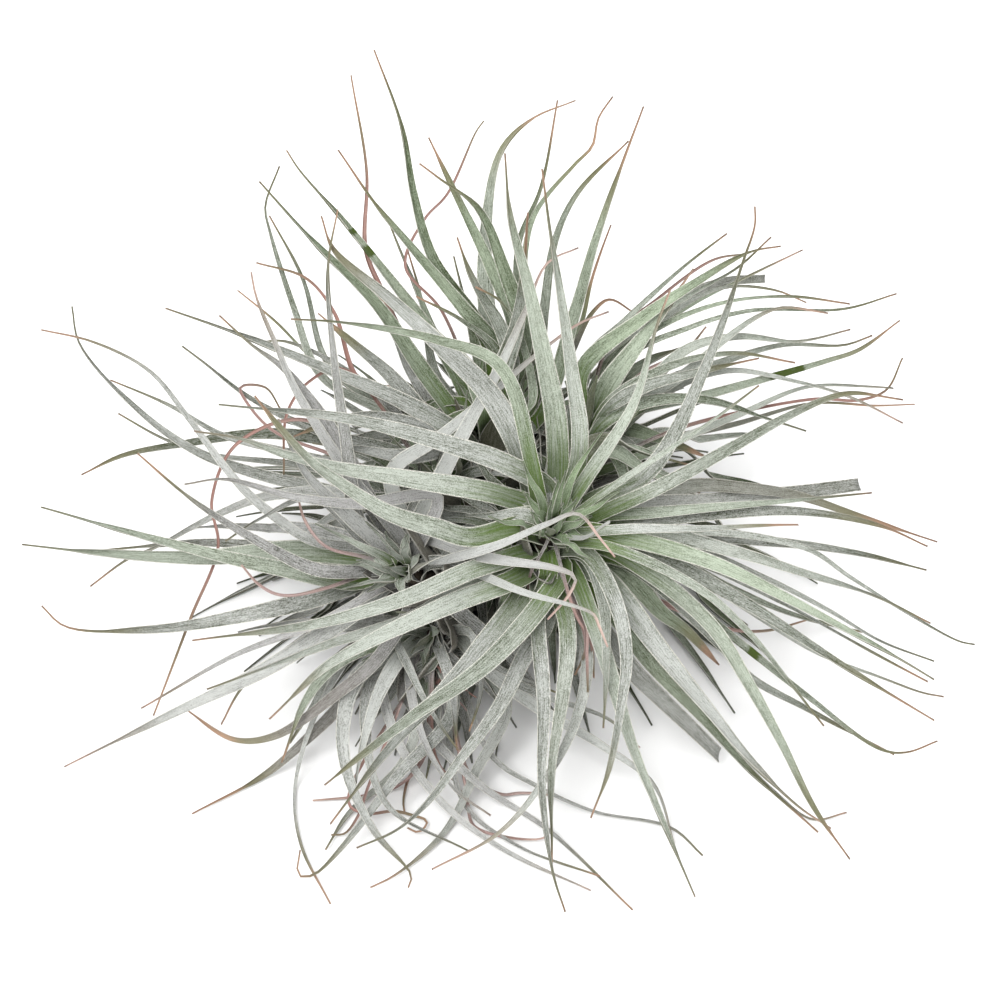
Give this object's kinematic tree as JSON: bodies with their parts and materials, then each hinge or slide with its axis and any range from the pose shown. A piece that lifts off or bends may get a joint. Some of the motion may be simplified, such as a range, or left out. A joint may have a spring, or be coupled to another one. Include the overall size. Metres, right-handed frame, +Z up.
{
  "type": "air plant clump",
  "caption": "Silver-leaved air plant clump: rosettes of long, narrow, arching leaves that branch from one short woody base, resting on its flat underside and leaf tips.",
  "frame": {"origin": "centre of the flat spot under the woody base, on the surface that the clump lies on", "axes": "+Z up, +X along the clump's longest extent, -Y towards the side that the picture shows"},
  "size_m": [0.3088, 0.269, 0.1641],
  "materials": {
    "leaf": "matte, scaly silver bloom over grey-green",
    "woody": "rough, dry and fibrous"
  },
  "bodies": {
    "root": {"rosette_front": "leaf", "rosette_left": "leaf", "rosette_low": "leaf", "rosette_upper_left": "leaf", "rosette_top": "leaf", "rosette_right": "leaf", "rosette_back": "leaf", "woody_base": "woody"}
  },
  "joints": []
}
